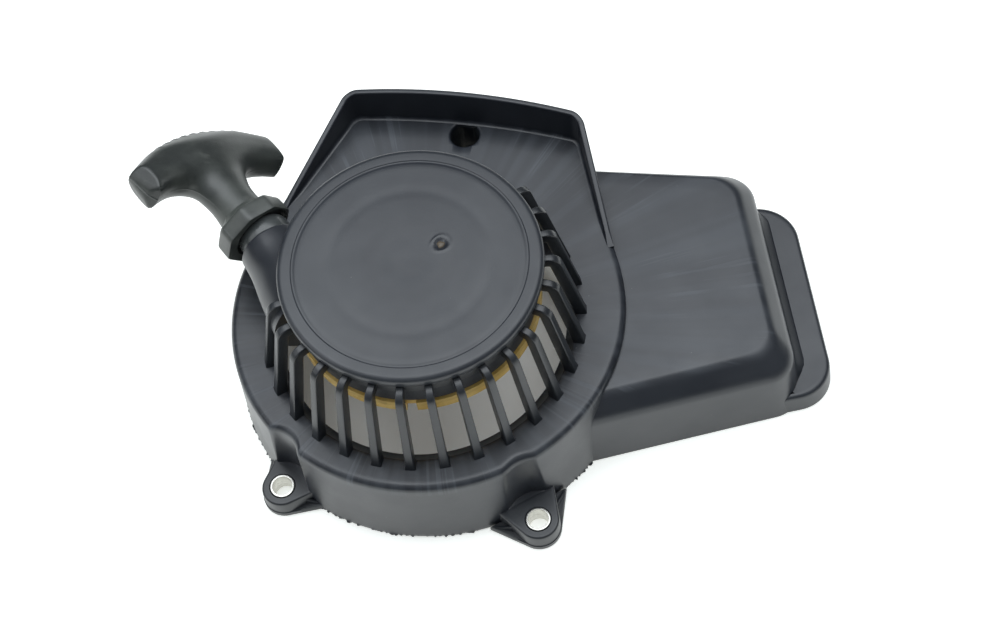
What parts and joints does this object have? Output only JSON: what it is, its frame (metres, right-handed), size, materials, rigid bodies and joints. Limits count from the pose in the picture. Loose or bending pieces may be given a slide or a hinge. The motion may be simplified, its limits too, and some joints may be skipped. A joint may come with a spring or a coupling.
{
  "type": "recoil starter",
  "caption": "Recoil starter with a caged spring cup, rope reel, pull handle on a side nozzle, throw-out pawls, drafted fan shroud, raised back visor and a side cover.",
  "frame": {"origin": "crank axis in the plane of the mounting face", "axes": "+Z along the crank axis away from the engine, +X towards the side cover, +Y towards the visor"},
  "size_m": [0.2276, 0.1665, 0.0853],
  "materials": {
    "housing_nylon": "satin blue-black moulded nylon",
    "ochre_nylon": "satin ochre nylon",
    "grip_rubber": "soft black rubber",
    "plated_steel": "zinc plated",
    "eyelet_steel": "satin",
    "spring_steel": "blued strip",
    "pawl_steel": "hardened",
    "rope_braid": "braided polyester"
  },
  "bodies": {
    "housing": {"fan_shroud": "housing_nylon", "visor": "housing_nylon", "side_cover": "housing_nylon", "spring_cup": "housing_nylon", "rib_cage": "housing_nylon", "rope_nozzle": "housing_nylon", "left_lug": "housing_nylon", "right_lug": "housing_nylon", "bolt_well": "housing_nylon", "mounting_bushes": "plated_steel", "rope_eyelet": "eyelet_steel", "recoil_spring": "spring_steel", "brake_spring": "spring_steel", "thrust_washer": "plated_steel", "centre_screw": "plated_steel"},
    "reel": {"rope_reel": "ochre_nylon", "wound_rope": "rope_braid", "reel_knot": "rope_braid", "pawl_spring_1": "spring_steel", "pawl_spring_2": "spring_steel"},
    "handle": {"handle_grip": "grip_rubber", "handle_knot": "rope_braid", "handle_washer": "plated_steel", "starter_rope": "rope_braid"},
    "guide": {"pawl_guide": "plated_steel"},
    "first_pawl": {"pawl_1": "pawl_steel"},
    "second_pawl": {"pawl_2": "pawl_steel"}
  },
  "joints": [
    {"name": "handle_pull", "type": "slide", "parent": "housing", "child": "handle", "axis": [-0.3746, 0.9272, 0], "range_m": [0, 0.7], "stiffness_N_per_m": 20, "springref_m": -0.5},
    {"name": "reel_spin", "type": "hinge", "parent": "housing", "child": "reel", "pos_m": [0, 0, 0.06], "axis": [0, 0, -1], "range_deg": [0, 1200]},
    {"name": "guide_turn", "type": "hinge", "parent": "reel", "child": "guide", "pos_m": [0, 0, 0.037], "axis": [0, 0, 1], "range_deg": [0, 20], "stiffness_Nm_per_rad": 0.005},
    {"name": "pawl_1_swing", "type": "hinge", "parent": "reel", "child": "first_pawl", "pos_m": [0.017, 0, 0.04], "axis": [0, 0, 1], "range_deg": [0, 30]},
    {"name": "pawl_2_swing", "type": "hinge", "parent": "reel", "child": "second_pawl", "pos_m": [-0.017, 0, 0.04], "axis": [0, 0, 1], "range_deg": [0, 30]}
  ],
  "couplings": [
    {"joint": "reel_spin", "follows": "handle_pull", "rad_per_m": 29.851},
    {"joint": "pawl_1_swing", "follows": "guide_turn", "ratio": 1.5},
    {"joint": "pawl_2_swing", "follows": "guide_turn", "ratio": 1.5}
  ]
}
